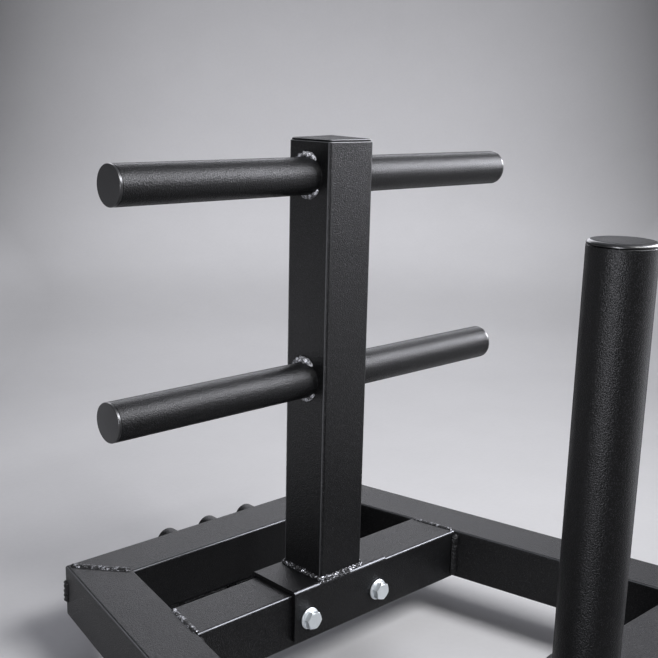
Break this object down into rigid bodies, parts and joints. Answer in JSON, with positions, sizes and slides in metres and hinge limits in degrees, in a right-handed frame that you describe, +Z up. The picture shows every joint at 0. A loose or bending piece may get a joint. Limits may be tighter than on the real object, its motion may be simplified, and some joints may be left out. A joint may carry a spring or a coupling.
{
  "type": "push sled",
  "caption": "Tapered push sled of square tube with a bolted upright carrying round push handles, a lift-out round weight post and gliding feet.",
  "frame": {"origin": "on the floor, under the middle of the whole sled's box", "axes": "+Z up, +Y towards the rear rail and the pusher, so the sled travels towards -Y, and +X to the right as seen from the front rail"},
  "size_m": [0.628, 0.732, 0.4925],
  "materials": {
    "powder_coat": "satin black powder coat with a fine grain",
    "cap_plastic": "satin black moulded plastic",
    "glide_plastic": "matt black sliding plastic",
    "zinc_plate": "bright zinc plate"
  },
  "bodies": {
    "frame": {"left_rail": "powder_coat", "right_rail": "powder_coat", "rear_rail": "powder_coat", "front_rail": "powder_coat", "rear_crossmember": "powder_coat", "middle_crossmember": "powder_coat", "upright_saddle": "powder_coat", "upright": "powder_coat", "upright_cap": "cap_plastic", "left_saddle_bolt": "zinc_plate", "left_saddle_nut": "zinc_plate", "right_saddle_bolt": "zinc_plate", "right_saddle_nut": "zinc_plate", "upper_left_handle": "powder_coat", "upper_left_handle_cap": "cap_plastic", "upper_right_handle": "powder_coat", "upper_right_handle_cap": "cap_plastic", "lower_left_handle": "powder_coat", "lower_left_handle_cap": "cap_plastic", "lower_right_handle": "powder_coat", "lower_right_handle_cap": "cap_plastic", "post_socket": "powder_coat", "left_rear_peg": "powder_coat", "middle_rear_peg": "powder_coat", "right_rear_peg": "powder_coat", "rear_left_leg": "powder_coat", "rear_left_glide_shoe": "glide_plastic", "rear_left_shoe_screw": "zinc_plate", "rear_middle_leg": "powder_coat", "rear_middle_glide_shoe": "glide_plastic", "rear_middle_shoe_screw": "zinc_plate", "rear_right_leg": "powder_coat", "rear_right_glide_shoe": "glide_plastic", "rear_right_shoe_screw": "zinc_plate", "front_left_leg": "powder_coat", "front_left_glide_shoe": "glide_plastic", "front_left_shoe_screw": "zinc_plate", "front_right_leg": "powder_coat", "front_right_glide_shoe": "glide_plastic", "front_right_shoe_screw": "zinc_plate"},
    "weight_post": {"weight_post": "powder_coat", "weight_post_cap": "cap_plastic"}
  },
  "joints": [
    {"name": "post_lift", "type": "slide", "parent": "frame", "child": "weight_post", "axis": [0, 0, 1], "range_m": [0, 0.06]}
  ]
}
